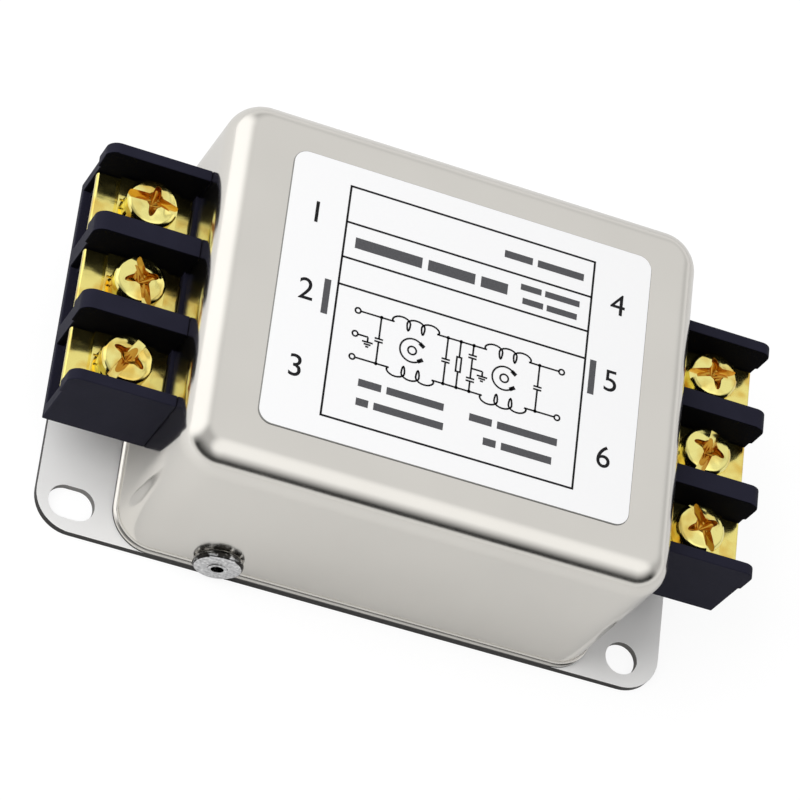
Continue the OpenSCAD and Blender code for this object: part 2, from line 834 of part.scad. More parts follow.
case();
base_plate();
case_rivets();
rating_label();
line_terminal_block();
load_terminal_block();
line_terminal_1();
line_terminal_2();
line_terminal_3();
load_terminal_1();
load_terminal_2();
load_terminal_3();
line_clamp_plates();
load_clamp_plates();
line_spring_washers();
load_spring_washers();
line_terminal_screws();
load_terminal_screws();
line_terminal_nuts();
load_terminal_nuts();
insulating_tray();
circuit_board();
line_choke_core();
line_choke_divider();
line_choke_live_winding();
line_choke_neutral_winding();
load_choke_core();
load_choke_divider();
load_choke_live_winding();
load_choke_neutral_winding();
line_x_capacitor();
middle_x_capacitor();
load_x_capacitor();
line_y_capacitor();
load_y_capacitor();
bleed_resistor();
earth_lug();
earth_lead();
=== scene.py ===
"""EMI line filter: finishes and fine forms built round the packed solids."""
import math

import bmesh
import bpy
from bpy.props import FloatProperty, FloatVectorProperty, PointerProperty
from mathutils import Matrix, Vector


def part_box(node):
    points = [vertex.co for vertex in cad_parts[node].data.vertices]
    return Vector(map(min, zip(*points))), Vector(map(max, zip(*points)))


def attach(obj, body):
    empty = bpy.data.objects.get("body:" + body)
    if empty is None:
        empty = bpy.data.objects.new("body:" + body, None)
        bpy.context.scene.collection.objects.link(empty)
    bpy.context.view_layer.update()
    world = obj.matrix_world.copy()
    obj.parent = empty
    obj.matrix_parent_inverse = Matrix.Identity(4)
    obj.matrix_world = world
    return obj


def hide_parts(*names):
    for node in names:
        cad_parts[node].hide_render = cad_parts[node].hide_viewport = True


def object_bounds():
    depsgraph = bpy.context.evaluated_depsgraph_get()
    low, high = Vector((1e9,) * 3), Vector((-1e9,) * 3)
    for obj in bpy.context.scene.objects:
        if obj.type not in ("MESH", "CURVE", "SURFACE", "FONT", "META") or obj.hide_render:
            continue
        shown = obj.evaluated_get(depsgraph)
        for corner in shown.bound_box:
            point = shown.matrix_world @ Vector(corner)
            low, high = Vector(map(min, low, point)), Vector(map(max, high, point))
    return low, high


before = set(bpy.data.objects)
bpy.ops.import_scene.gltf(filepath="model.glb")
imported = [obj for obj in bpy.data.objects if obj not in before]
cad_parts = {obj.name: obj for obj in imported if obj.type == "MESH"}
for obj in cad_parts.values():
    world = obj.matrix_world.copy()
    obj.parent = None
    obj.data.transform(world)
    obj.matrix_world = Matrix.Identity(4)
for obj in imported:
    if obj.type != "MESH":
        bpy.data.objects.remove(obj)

bl_info = {
    "name": "Line Filter Finisher",
    "version": (1, 0, 0),
    "blender": (4, 5, 0),
    "location": "View3D > Sidebar > Line Filter",
    "description": "Dresses the packed line filter with fine forms and finishes",
    "category": "Object",
}

MM = 0.001
SAME_POINT = 0.001 * MM    # Points closer than this are one where a mesh is cut
SAME_HEIGHT = 0.01 * MM    # Heights closer than this are one
CAD_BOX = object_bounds()
CAN_LOW, CAN_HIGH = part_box("case")
LABEL_LOW, LABEL_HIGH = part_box("rating_label")
ENDS = ("line", "load")


# ---- settings ----

def length(name, description, default):
    return FloatProperty(name=name, description=description, default=default, min=0.0,
                         unit="LENGTH", subtype="DISTANCE", precision=5)


def colour(name, description, default):
    return FloatVectorProperty(name=name, description=description, default=default,
                               min=0.0, max=1.0, subtype="COLOR", size=3)


def factor(name, description, default):
    return FloatProperty(name=name, description=description, default=default, min=0.0,
                         max=1.0, subtype="FACTOR")


class StageSettings(bpy.types.PropertyGroup):
    """Camera, floor and light"""
    camera_place: FloatVectorProperty(
        name="Camera place", description="Where the camera stands", size=3,
        default=(-0.14448, -0.24225, 0.42899), unit="LENGTH", subtype="XYZ")
    camera_turn: FloatVectorProperty(
        name="Camera turn", description="Rotation of the camera", size=3, subtype="EULER",
        default=(math.radians(26.2336), math.radians(-22.3369), math.radians(6.8251)))
    camera_lens: FloatProperty(
        name="Lens", description="Focal length on a 36 mm sensor, in millimetres",
        default=180.59, unit="CAMERA")
    floor_size: length("Floor", "Side of the square floor", 0.9)
    floor_colour: colour("Floor colour", "Colour of the floor", (0.74, 0.74, 0.74))
    sky_level: factor("Sky level", "Brightness of the room overhead", 0.50)
    wall_level: factor("Wall level", "Brightness of the room's walls", 0.82)
    dark_level: factor("Dark level", "Brightness of the dark band in front", 0.01)
    lamp_place: FloatVectorProperty(
        name="Lamp place", description="Where the soft lamp hangs", size=3,
        default=(-0.46, -0.07, 0.48), unit="LENGTH", subtype="XYZ")
    lamp_size: length("Lamp", "Side of the square lamp", 0.45)
    lamp_power: FloatProperty(name="Lamp power", description="Power of the lamp, in watts",
                              default=2.5, min=0.0, unit="POWER")


class CanSettings(bpy.types.PropertyGroup):
    """Drawn can and base plate"""
    corner_radius: length("Corner radius", "Radius of the upright corners", 5 * MM)
    top_radius: length("Top radius", "Radius of the edge round the top", 4.2 * MM)
    wall: length("Wall", "Thickness of the sheet", 0.8 * MM)
    foot_flare: length("Foot flare", "How far the foot stands out", 0.35 * MM)
    foot_height: length("Foot height", "Height of the straight foot", 0.6 * MM)
    foot_turn: length("Foot turn", "Height of the curve above the foot", 0.5 * MM)
    # Height of the band at the bottom of the foot that is painted as shade
    foot_trim: length("Foot shade", "Height of the shade painted round the foot", 0.31 * MM)
    window_half: length("Window", "Half the width of each end window", 15.25 * MM)
    window_low: length("Window foot", "Height of each window's lower edge", 10.8 * MM)
    window_high: length("Window head", "Height of each window's upper edge", 17.5 * MM)
    flange_corner: length("Flange corner", "Corner radius of the base plate", 5 * MM)
    plate_top: length("Plate top", "Height that the plate's flat part stays under", 1.1 * MM)
    outline_margin: length("Outline margin", "How near a face on the outline lies to it",
                           0.5 * MM)
    rivet_edge: length("Rivet edge", "Rounding of the rivets' edges", 0.06 * MM)
    plate_edge: length("Plate edge", "Rounding of the base plate's edges", 0.12 * MM)
    plating: colour("Plating", "Colour of the nickel plating", (0.80, 0.775, 0.725))
    sheet: colour("Sheet", "Colour of the base plate", (0.93, 0.925, 0.915))
    # Near-black painted shade, given to the lowest band of the can's foot and to the plate's
    # outer edge, where shade and dark reflection fall
    cut_edge: colour("Dark edge", "Colour painted as shade on the can's foot and the plate's edge", (0.055, 0.052, 0.05))
    hole_wall: colour("Hole wall", "Colour of the walls of the plate's holes", (0.30, 0.29, 0.28))


class LabelSettings(bpy.types.PropertyGroup):
    """Label and its print"""
    corner_radius: length("Corner radius", "Corner radius of the label", 1.9 * MM)
    edge: length("Edge", "Bevel of the label's edge", 0.09 * MM)
    print_height: length("Print height", "Thickness of the print", 0.02 * MM)
    line: length("Line", "Width of the frame's lines", 0.27 * MM)
    fine_line: length("Fine line", "Width of the diagram's lines", 0.23 * MM)
    number: length("Number", "Height of the terminal numbers", 3.05 * MM)
    number_weight: length("Number weight", "Widening of the numbers' strokes", 0.004 * MM)
    bold_dash: length("Bold dash", "Height of the dashes for large text", 1.5 * MM)
    plain_dash: length("Plain dash", "Height of the dashes for plain text", 1.0 * MM)
    small_dash: length("Small dash", "Height of the dashes for small text", 0.85 * MM)
    film: colour("Film", "Colour of the label", (0.87, 0.87, 0.875))
    cut_edge: colour("Dark edge", "Colour of the label's cut edge", (0.22, 0.22, 0.21))
    ink: colour("Ink", "Colour of the print", (0.008, 0.008, 0.009))
    grey_ink: colour("Grey ink", "Colour of the dashes", (0.075, 0.075, 0.08))


class TerminalSettings(bpy.types.PropertyGroup):
    """Terminal blocks and brass"""
    block_edge: length("Block edge", "Rounding of the mouldings' edges", 0.18 * MM)
    brass_edge: length("Brass edge", "Rounding of the strips and plates", 0.08 * MM)
    nut_edge: length("Nut edge", "Rounding of the nuts", 0.15 * MM)
    screw_edge: length("Screw edge", "Rounding of the screw heads' rims", 0.7 * MM)
    moulding: colour("Moulding", "Colour of the blocks", (0.0150, 0.0148, 0.0262))
    # Near-black painted shade for the walls between the ways, darker than the moulding's own
    # colour
    inner_moulding: colour("Painted shade moulding", "Colour painted as shade on the walls between the ways",
                           (0.0018, 0.0018, 0.0034))
    brass: colour("Brass", "Colour of strips and clamp plates", (1.0, 0.87, 0.27))
    screw: colour("Screw", "Colour of the screws and washers", (1.0, 0.91, 0.32))
    # Darker orange painted shade, given inside the cross recesses and on the slots' walls
    recess: colour("Recess", "Colour painted as shade inside the screws' recesses and slots", (0.62, 0.33, 0.045))
    zinc: colour("Zinc", "Colour of the nuts", (0.6, 0.6, 0.58))
    screw_length: length("Screw length", "From under the head to the tip", 7 * MM)
    head_height: length("Head height", "Height of the screw heads", 2.4 * MM)
    head_crown: length("Head crown", "Rise of the top over its flat part", 0.5 * MM)
    recess_reach: length("Recess reach", "From the middle to the cross's ends", 2.25 * MM)
    recess_waist: length("Recess waist", "From the middle to the cross's corners", 1.1 * MM)
    slot: length("Slot", "Width of the slot across each head", 1.2 * MM)
    slot_depth: length("Slot depth", "Depth of the slot at the edge", 0.8 * MM)


class InsideSettings(bpy.types.PropertyGroup):
    """Parts inside the can"""
    laminate: colour("Laminate", "Colour of the circuit board", (0.03, 0.16, 0.06))
    ferrite: colour("Ferrite", "Colour of the choke cores", (0.03, 0.05, 0.05))
    enamel: colour("Enamel", "Colour of the windings", (0.60, 0.20, 0.07))
    box: colour("Box", "Colour of the film capacitors", (0.72, 0.42, 0.05))
    ceramic: colour("Ceramic", "Colour of the ceramic capacitors", (0.04, 0.16, 0.50))
    coat: colour("Coat", "Colour of the resistor", (0.62, 0.44, 0.24))
    sleeve: colour("Sleeve", "Colour of the earth lead", (0.16, 0.42, 0.05))
    tray: colour("Tray", "Colour of the insulating tray", (0.80, 0.77, 0.66))
    tin: colour("Tin", "Colour of the earth lug", (0.7, 0.7, 0.7))


# ---- shader helpers ----

class Field:
    """A socket in a shader. Arithmetic on it adds the nodes that work it out."""

    def __init__(self, finish, socket):
        self.finish, self.socket = finish, socket

    def maths(self, operation, first, second):
        return self.finish.node("ShaderNodeMath", {"operation": operation},
                                {0: first, 1: second})

    def __add__(self, other):
        return self.maths("ADD", self, other)

    def __sub__(self, other):
        return self.maths("SUBTRACT", self, other)

    def __rsub__(self, other):
        return self.maths("SUBTRACT", other, self)

    def __mul__(self, other):
        return self.maths("MULTIPLY", self, other)

    __radd__ = __add__
    __rmul__ = __mul__


class Finish:
    """A node tree, with one method that adds any node to it."""

    def __init__(self, owner):
        owner.use_nodes = True
        self.owner, self.tree = owner, owner.node_tree
        self.tree.nodes.clear()

    def node(self, kind, settings=None, values=None, output=0):
        node = self.tree.nodes.new(kind)
        for name, value in (settings or {}).items():
            if name == "stops":
                while len(node.color_ramp.elements) < len(value):
                    node.color_ramp.elements.new(0.5)
                for element, (place, shade) in zip(node.color_ramp.elements, value):
                    element.position, element.color = place, shade
            elif name == "interpolation":
                node.color_ramp.interpolation = value
            else:
                setattr(node, name, value)
        for key, value in (values or {}).items():
            if isinstance(value, Field):
                self.tree.links.new(value.socket, node.inputs[key])
            else:
                node.inputs[key].default_value = value
        return Field(self, node.outputs[output]) if node.outputs else None

    def mix(self, amount, first, second):
        """Colour between two colours"""
        return self.node("ShaderNodeMix", {"data_type": "RGBA"},
                         {0: amount, 6: first, 7: second}, 2)

    def ramp(self, value, stops, interpolation="LINEAR"):
        """Grey that follows a value; each stop is a place and a level"""
        return self.node("ShaderNodeValToRGB", {
            "interpolation": interpolation,
            "stops": [(place, grey(level)) for place, level in stops]}, {0: value})

    def place(self, scale=(1, 1, 1)):
        """Object coordinates in metres, stretched by scale"""
        where = self.node("ShaderNodeTexCoord", output=3)
        return self.node("ShaderNodeMapping", None, {"Vector": where, "Scale": scale})

    def noise(self, scale, detail=2.0, stretch=(1, 1, 1)):
        return self.node("ShaderNodeTexNoise", None,
                         {"Vector": self.place(stretch), "Scale": scale, "Detail": detail})

    def bump(self, height, distance):
        return self.node("ShaderNodeBump", None, {"Height": height, "Distance": distance})

    def surface(self, **values):
        """The main shader, and the output that shows it"""
        named = {key.replace("_", " "): value for key, value in values.items()}
        shader = self.node("ShaderNodeBsdfPrincipled", None, named)
        self.node("ShaderNodeOutputMaterial", None, {"Surface": shader})
        return self.owner


def rgba(rgb, level=1.0):
    return tuple(channel * level for channel in rgb) + (1.0,)


def grey(level):
    return (level, level, level, 1.0)


def finish_named(name):
    """Node tree of a new material"""
    return Finish(bpy.data.materials.new(name))


def plated(name, shade, roughness, metallic=1.0):
    """Nickel over drawn sheet: faint cloudiness and a slight waviness in the gloss"""
    f = finish_named(name)
    cloud = f.noise(70.0, 2.0)
    grain = f.noise(2600.0, 3.0)
    wave = f.noise(110.0, 1.0)
    return f.surface(
        Base_Color=f.mix(cloud, rgba(shade, 0.95), rgba(shade, 1.03)),
        Metallic=metallic,
        Roughness=roughness + 0.06 * cloud + 0.05 * grain,
        Normal=f.bump(wave * 0.9 + grain * 0.02, 0.00006))


def stamped_brass(name, shade, roughness, dishing=0.9, tarnish=0.30):
    """Bright brass: rolling lines, a gentle dishing and darker golden patches. A larger
    tarnish gives more patches."""
    f = finish_named(name)
    patch = f.noise(330.0, 2.0)
    lines = f.noise(500.0, 2.0, (1.0, 6.0, 1.0))
    wave = f.noise(420.0, 1.0)
    deep = (shade[0] * 0.85, shade[1] * 0.66, shade[2] * 0.42, 1.0)
    return f.surface(
        Base_Color=f.mix((patch - tarnish) * 5.0, deep, rgba(shade)),
        Metallic=1.0,
        Roughness=roughness + 0.06 * lines,
        Normal=f.bump(wave * dishing + lines * 0.03, 0.0001))


def moulded(name, shade, roughness):
    """Moulded plastic with a fine spark-eroded texture"""
    f = finish_named(name)
    grain = f.noise(5200.0, 2.0)
    cloud = f.noise(300.0, 2.0)
    return f.surface(
        Base_Color=f.mix(cloud, rgba(shade, 0.85), rgba(shade, 1.2)),
        Roughness=roughness + 0.10 * grain,
        Specular_IOR_Level=0.05,
        Normal=f.bump(grain, 0.00001))


def film(name, shade):
    """Matte printed film"""
    f = finish_named(name)
    grain = f.noise(3000.0, 2.0)
    return f.surface(
        Base_Color=f.mix(grain, rgba(shade, 0.985), rgba(shade)),
        Roughness=0.5 + 0.08 * grain)


def ink(name, shade):
    """Dull ink with slightly uneven cover"""
    f = finish_named(name)
    grain = f.noise(4000.0, 2.0)
    return f.surface(
        Base_Color=f.mix(grain, rgba(shade, 0.8), rgba(shade, 1.4)),
        Roughness=0.5 + 0.1 * grain,
        Specular_IOR_Level=0.15)


# ---- mesh helpers ----

def add_piece(name, mesh_maker, material, replaced=(), sharp=30.0):
    """A piece from a bmesh, smooth but for its sharp edges, riding on the body"""
    mesh = bpy.data.meshes.new(name)
    mesh_maker.to_mesh(mesh)
    mesh_maker.free()
    mesh.materials.append(material)
    mesh.shade_smooth()
    mesh.set_sharp_from_angle(angle=math.radians(sharp))
    piece = bpy.data.objects.new(name, mesh)
    bpy.context.scene.collection.objects.link(piece)
    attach(piece, "root")
    if replaced:
        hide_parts(*replaced)
    return piece


def merged_copy(node):
    """The solids of a CAD node as one clean mesh, with flat faces made whole"""
    bm = bmesh.new()
    bm.from_mesh(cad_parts[node].data)
    bmesh.ops.remove_doubles(bm, verts=bm.verts, dist=0.0005 * MM)
    bmesh.ops.dissolve_limit(bm, angle_limit=math.radians(0.8), verts=bm.verts,
                             edges=bm.edges)
    return bm


def soften(piece, width, segments):
    """Rounds the sharp edges and keeps the flat faces flat in their shading"""
    bevel = piece.modifiers.new("edges", "BEVEL")
    bevel.width = width
    bevel.segments = segments
    bevel.limit_method = "ANGLE"
    bevel.angle_limit = math.radians(32)
    bevel.use_clamp_overlap = True
    bevel.miter_outer = "MITER_ARC"
    even_shading(piece)


def even_shading(piece):
    """Large faces decide the shading at their edges"""
    even = piece.modifiers.new("shading", "WEIGHTED_NORMAL")
    even.weight = 100
    even.keep_sharp = True


def dress(node, material, width, segments=2):
    """A CAD node's shape again, with its edges rounded and a finish"""
    piece = add_piece(node + "_dressed", merged_copy(node), material, (node,))
    soften(piece, width, segments)
    return piece


def other_finish(piece, material, wanted):
    """Gives another finish to the faces that are wanted"""
    index = len(piece.data.materials)
    piece.data.materials.append(material)
    for face in piece.data.polygons:
        if wanted(face):
            face.material_index = index


def upright_edges(bm):
    return [e for e in bm.edges
            if abs(e.verts[0].co.z - e.verts[1].co.z) > e.calc_length() * 0.9]


def at_height(edge, height):
    return all(abs(v.co.z - height) < SAME_HEIGHT for v in edge.verts)


def level_edges(bm, height):
    return [e for e in bm.edges if at_height(e, height)]


def rounded_block(low, high, corner, corner_steps):
    """A block between two corners, with its upright edges rounded"""
    bm = bmesh.new()
    size = high - low
    bmesh.ops.create_cube(bm, size=1.0)
    bmesh.ops.scale(bm, vec=size, verts=bm.verts)
    bmesh.ops.translate(bm, vec=(low + high) / 2, verts=bm.verts)
    bmesh.ops.bevel(bm, geom=upright_edges(bm), offset=corner, segments=corner_steps,
                    profile=0.5, affect="EDGES", material=-1)
    return bm


def paint_inside(nodes, material):
    """Gives CAD nodes a finish and keeps their shapes"""
    for node in nodes:
        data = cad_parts[node].data
        data.materials.clear()
        data.materials.append(material)


# ---- can ----

class FILTER_OT_can(bpy.types.Operator):
    """Make the drawn can with its flared foot, shade painted on the foot's lowest band, and end
    windows
    """
    bl_idname = "line_filter.can"
    bl_label = "Can"

    # Steps down the foot: share of the flare reached, and share of the turn's height that
    # the step falls by. The last one falls to the plate.
    FOOT_STEPS = ((0.12, 0.35), (0.45, 0.35), (1.0, 0.30), (1.0, 0.6), (1.0, None))

    def execute(self, context):
        s = context.scene.filter_can
        flare = Vector((s.foot_flare, s.foot_flare, 0))
        low, high = CAN_LOW + flare, CAN_HIGH - flare
        low.z = CAN_LOW.z + s.foot_height + s.foot_turn
        bm = rounded_block(low, high, s.corner_radius, 20)
        bmesh.ops.bevel(bm, geom=level_edges(bm, CAN_HIGH.z), offset=s.top_radius,
                        segments=16, profile=0.5, affect="EDGES", material=-1)
        bottom = [f for f in bm.faces if f.normal.z < -0.9]
        bmesh.ops.delete(bm, geom=bottom, context="FACES")
        self.cut_windows(bm, s)
        self.draw_foot(bm, s, low, high)
        piece = add_piece("drawn_can", bm, plated("nickel_can", s.plating, 0.11),
                          ("case",), sharp=50.0)
        # The foot's lowest band is painted near-black: painted shade where the can meets the
        # plate
        other_finish(piece, plated("can_foot_painted_shade", s.cut_edge, 0.35),
                     lambda face: face.center.z < CAN_LOW.z + s.foot_trim)
        wall = piece.modifiers.new("wall", "SOLIDIFY")
        wall.thickness, wall.offset = s.wall, -1.0
        even_shading(piece)
        return {"FINISHED"}

    def cut_windows(self, bm, s):
        """Open a window in each end wall for the terminal block's spigot"""
        cuts = (((0, s.window_half, 0), (0, 1, 0)), ((0, -s.window_half, 0), (0, 1, 0)),
                ((0, 0, s.window_low), (0, 0, 1)), ((0, 0, s.window_high), (0, 0, 1)))
        for place, across in cuts:
            walls = self.end_walls(bm)
            edges = {e for f in walls for e in f.edges}
            bmesh.ops.bisect_plane(bm, geom=walls + list(edges), plane_co=place,
                                   plane_no=across, dist=SAME_POINT)
        inside = [f for f in self.end_walls(bm)
                  if abs(f.calc_center_median().y) < s.window_half
                  and s.window_low < f.calc_center_median().z < s.window_high]
        bmesh.ops.delete(bm, geom=inside, context="FACES")

    def end_walls(self, bm):
        return [f for f in bm.faces if abs(f.normal.x) > 0.999]

    def draw_foot(self, bm, s, low, high):
        """Turn the lower rim out in a small curve and down to the plate"""
        core = Vector((high.x - s.corner_radius, high.y - s.corner_radius))
        rim = [e for e in level_edges(bm, low.z) if e.is_boundary]
        out, height = 0.0, low.z
        for reach, fall in self.FOOT_STEPS:
            made = bmesh.ops.extrude_edge_only(bm, edges=rim)["geom"]
            verts = [v for v in made if isinstance(v, bmesh.types.BMVert)]
            rim = [e for e in made if isinstance(e, bmesh.types.BMEdge)
                   and all(v in verts for v in e.verts)]
            height = CAN_LOW.z if fall is None else height - s.foot_turn * fall
            move = s.foot_flare * (reach - out)
            out = reach
            for v in verts:
                flat = Vector((v.co.x, v.co.y))
                near = Vector((max(-core.x, min(core.x, flat.x)),
                               max(-core.y, min(core.y, flat.y))))
                away = (flat - near).normalized() * move
                v.co = Vector((v.co.x + away.x, v.co.y + away.y, height))


class FILTER_OT_plate(bpy.types.Operator):
    """Finish the base plate and the rivets that hold the can to it"""
    bl_idname = "line_filter.plate"
    bl_label = "Base plate and rivets"

    def execute(self, context):
        s = context.scene.filter_can
        plate = dress("base_plate", plated("plated_sheet", s.sheet, 0.30, 0.12),
                      s.plate_edge, 3)
        # The plate's outer edge is painted near-black: painted shade and dark reflection along
        # it. The holes' walls then take their own grey
        other_finish(plate, plated("plate_edge_painted_shade", s.cut_edge, 0.35),
                     lambda face: self.sheared(face, s))
        other_finish(plate, plated("hole_wall", s.hole_wall, 0.35),
                     lambda face: self.sheared(face, s) and not self.at_outline(face, s))
        rivets = dress("case_rivets", self.aluminium(), s.rivet_edge)
        # The rivets' rims take a painted dark reflection with painted glints
        other_finish(rivets, self.rolled_rim(), lambda face: abs(face.normal.y) < 0.8)
        return {"FINISHED"}

    def sheared(self, face, s):
        """Whether a face is cut through the sheet, below the ears"""
        return abs(face.normal.z) < 0.5 and face.center.z < s.plate_top

    def at_outline(self, face, s):
        """Whether a face is on the plate's rounded outline, not in a hole"""
        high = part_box("base_plate")[1]
        past = Vector([max(abs(place) - (reach - s.flange_corner), 0)
                       for place, reach in zip(face.center.xy, high.xy)])
        return past.length >= s.flange_corner - s.outline_margin

    def rolled_rim(self):
        """Side of a rivet head painted near-black as a dark reflection, with painted bright
        glints
        """
        f = finish_named("rivet_rim_painted_reflection")
        glint_noise = f.noise(1100.0, 3.0)
        # Near-black painted reflection, broken by painted bright glints
        bright = f.node("ShaderNodeValToRGB", {"stops": (
            (0.50, (0.03, 0.028, 0.026, 1)), (0.62, grey(0.65)))}, {0: glint_noise})
        return f.surface(Base_Color=bright, Metallic=1.0, Roughness=0.2,
                         Normal=f.bump(glint_noise, 0.00003))

    def aluminium(self):
        """Frosted face of a rivet"""
        f = finish_named("rivet_aluminium")
        grain = f.noise(2200.0, 3.0)
        dent = f.noise(900.0, 2.0)
        return f.surface(
            Base_Color=f.mix((grain - 0.35) * 3.0, (0.52, 0.52, 0.53, 1), grey(0.97)),
            Metallic=1.0, Roughness=0.26 + 0.2 * grain,
            Normal=f.bump(dent, 0.00004))


# ---- label ----

class FILTER_OT_label(bpy.types.Operator):
    """Make the label and its generic print: a frame, numbers and a circuit diagram"""
    bl_idname = "line_filter.label"
    bl_label = "Label and print"

    # Size of Blender's own font over the height of its digits
    FONT_SIZE = 1.4

    def execute(self, context):
        s = context.scene.filter_label
        self.ink = ink("label_ink", s.ink)
        grey_ink = ink("label_grey", s.grey_ink)
        self.base = LABEL_HIGH.z - s.print_height
        high = LABEL_HIGH.copy()
        high.z = self.base
        bm = rounded_block(LABEL_LOW, high, s.corner_radius, 12)
        bmesh.ops.bevel(bm, geom=level_edges(bm, self.base), offset=s.edge, segments=1,
                        profile=0.5, affect="EDGES", material=-1)
        label = add_piece("label_film", bm, film("label_film", s.film),
                          ("rating_label",))
        other_finish(label, film("label_edge", s.cut_edge),
                     lambda face: face.normal.z < 0.95)
        even_shading(label)
        self.middle = (LABEL_LOW + LABEL_HIGH) / 2
        self.printed("label_frame", self.draw_frame, s, self.ink)
        self.printed("label_diagram", self.draw_diagram, s, self.ink)
        self.printed("label_lines", self.draw_text_bars, s, grey_ink)
        self.draw_numbers(s)
        return {"FINISHED"}

    def printed(self, name, draw, s, material):
        """A piece of print, drawn flat and then raised"""
        bm = bmesh.new()
        draw(bm, s)
        made = bmesh.ops.extrude_face_region(bm, geom=bm.faces)["geom"]
        raised = [v for v in made if isinstance(v, bmesh.types.BMVert)]
        bmesh.ops.translate(bm, vec=(0, 0, s.print_height), verts=raised)
        bmesh.ops.recalc_face_normals(bm, faces=bm.faces)
        add_piece(name, bm, material)

    def bar(self, bm, start, end, width, over=0.0):
        """A straight stroke between two places on the label, in millimetres"""
        a, b = Vector(start) * MM, Vector(end) * MM
        run = b - a
        turn = Matrix.Rotation(math.atan2(run.y, run.x), 4, "Z")
        size = Matrix.Diagonal((run.length + over, width, 1, 1))
        centre = (a + b) / 2 + self.middle.xy
        place = Matrix.Translation((centre.x, centre.y, self.base))
        bmesh.ops.create_grid(bm, x_segments=1, y_segments=1, size=0.5,
                              matrix=place @ turn @ size)

    def arc(self, bm, centre, radius, first, sweep, width, steps=16):
        """A curved stroke; first and sweep are in degrees"""
        c = Vector(centre) * MM + self.middle.xy
        middle = Vector((c.x, c.y, self.base))
        along = Vector((math.cos(math.radians(first)), math.sin(math.radians(first)), 0))
        ends = [bm.verts.new(middle + along * (radius * MM + side * width / 2))
                for side in (-1, 1)]
        edge = bm.edges.new(ends)
        bmesh.ops.spin(bm, geom=ends + [edge], cent=middle, axis=(0, 0, 1),
                       angle=math.radians(sweep), steps=steps, use_merge=sweep == 360)

    def path(self, bm, places, width):
        """Strokes from place to place, lengthened so that they join"""
        for start, end in zip(places, places[1:]):
            self.bar(bm, start, end, width, width * 0.5)

    def draw_frame(self, bm, s):
        left, right, top, low = -16.55, 16.5, 16.1, -16.05
        dividers = (11.0, 6.05, 2.2)
        w = s.line
        for y in (top, low):
            self.bar(bm, (left, y), (right, y), w, w)
        for x in (left, right):
            self.bar(bm, (x, low), (x, top), w)
        for y in dividers:
            self.bar(bm, (left, y), (right, y), w)

    def coil(self, bm, start, y, side, w):
        """Three open loops of a winding; side is where they bulge"""
        turns, run, lean, bulge, dip = 3, 5.75, 0.62, 0.95, 0.72
        per_turn = 16
        last = turns * per_turn
        places = []
        for n in range(last + 1):
            a = math.tau * n / per_turn
            x = start + run * n / last - lean * math.sin(a)
            rise = bulge * (1 - math.cos(a)) / 2 if 0 < n < last else 0.0
            between_loops = per_turn / 2 < n < last - per_turn / 2
            fall = dip * max(0.0, math.cos(a)) ** 3 if between_loops else 0.0
            places.append((x, y + side * (rise - fall)))
        self.path(bm, places, w)

    def capacitor(self, bm, x, high, low, w):
        """Two plates across the middle of an upright lead"""
        middle = (high + low) / 2
        gap, half = 0.2, 0.55
        self.bar(bm, (x, high), (x, middle + gap), w)
        self.bar(bm, (x, middle - gap), (x, low), w)
        for side in (-1, 1):
            y = middle + side * gap
            self.bar(bm, (x - half, y), (x + half, y), w)

    def earth(self, bm, x, y, w):
        """Earth symbol below a lead that ends at x, y"""
        drop, step = 0.7, 0.32
        self.bar(bm, (x, y), (x, y - drop), w)
        for n, half in enumerate((0.7, 0.45, 0.2)):
            level = y - drop - step * n
            self.bar(bm, (x - half, level), (x + half, level), w)

    def dot(self, bm, x, y):
        """Mark where lines of the circuit join"""
        centre = Vector((x * MM, y * MM, 0)) + self.middle
        centre.z = self.base
        bmesh.ops.create_circle(bm, cap_ends=True, segments=16, radius=0.24 * MM,
                                matrix=Matrix.Translation(centre))

    def draw_diagram(self, bm, s):
        w = s.fine_line
        high, low = -0.7, -7.12
        middle = (high + low) / 2
        # Terminals
        for x, levels in ((-13.6, (high, middle, low)), (13.56, (high, low))):
            for y in levels:
                self.arc(bm, (x, y), 0.36, 0, 360, w, 20)
        # Live and neutral lines, with the chokes' windings and the joints on them
        for y, side in ((high, 1), (low, -1)):
            for start, end in ((-13.24, -8.85), (-3.1, 3.45), (9.2, 13.2)):
                self.bar(bm, (start, y), (end, y), w)
            for start in (-8.85, 3.45):
                self.coil(bm, start, y, side, w)
            for x in (-10.5, -1.67, 0.07, 1.78, 10.6):
                self.dot(bm, x, y)
        # Earth terminal
        earthed = -11.9
        self.bar(bm, (-13.24, middle), (earthed, middle), w)
        self.earth(bm, earthed, middle, w)
        # Three capacitors across the line
        for x in (-10.5, -1.67, 10.6):
            self.capacitor(bm, x, high, low, w)
        # Bleed resistor
        centre, half_w, half_h = 0.05, 0.3, 1.0
        self.bar(bm, (centre, high), (centre, middle + half_h), w)
        self.bar(bm, (centre, middle - half_h), (centre, low), w)
        for side in (-1, 1):
            x, y = centre + side * half_w, middle + side * half_h
            self.bar(bm, (x, middle - half_h), (x, middle + half_h), w)
            self.bar(bm, (centre - half_w, y), (centre + half_w, y), w, w)
        # Two capacitors to earth
        lead, earthed = 1.75, 3.25
        self.capacitor(bm, lead, high, middle, w)
        self.capacitor(bm, lead, middle, low, w)
        self.bar(bm, (lead, middle), (earthed, middle), w)
        self.earth(bm, earthed, middle, w)
        # Ring of each choke, open at the load side and thick at both ends, round a small ring
        for x in (-6.1, 6.15):
            self.arc(bm, (x, middle), 1.6, 40, 280, w, 28)
            for side in (-1, 1):
                tip = (x + 1.5, middle + side * 0.85)
                self.bar(bm, (x + 0.85, middle + side * 1.3), tip, w * 2.2)
            self.arc(bm, (x, middle), 0.55, 0, 360, w, 20)

    def draw_text_bars(self, bm, s):
        """Plain dashes, as long as words, in place of the lines of text"""
        bold, plain, small = s.bold_dash, s.plain_dash, s.small_dash
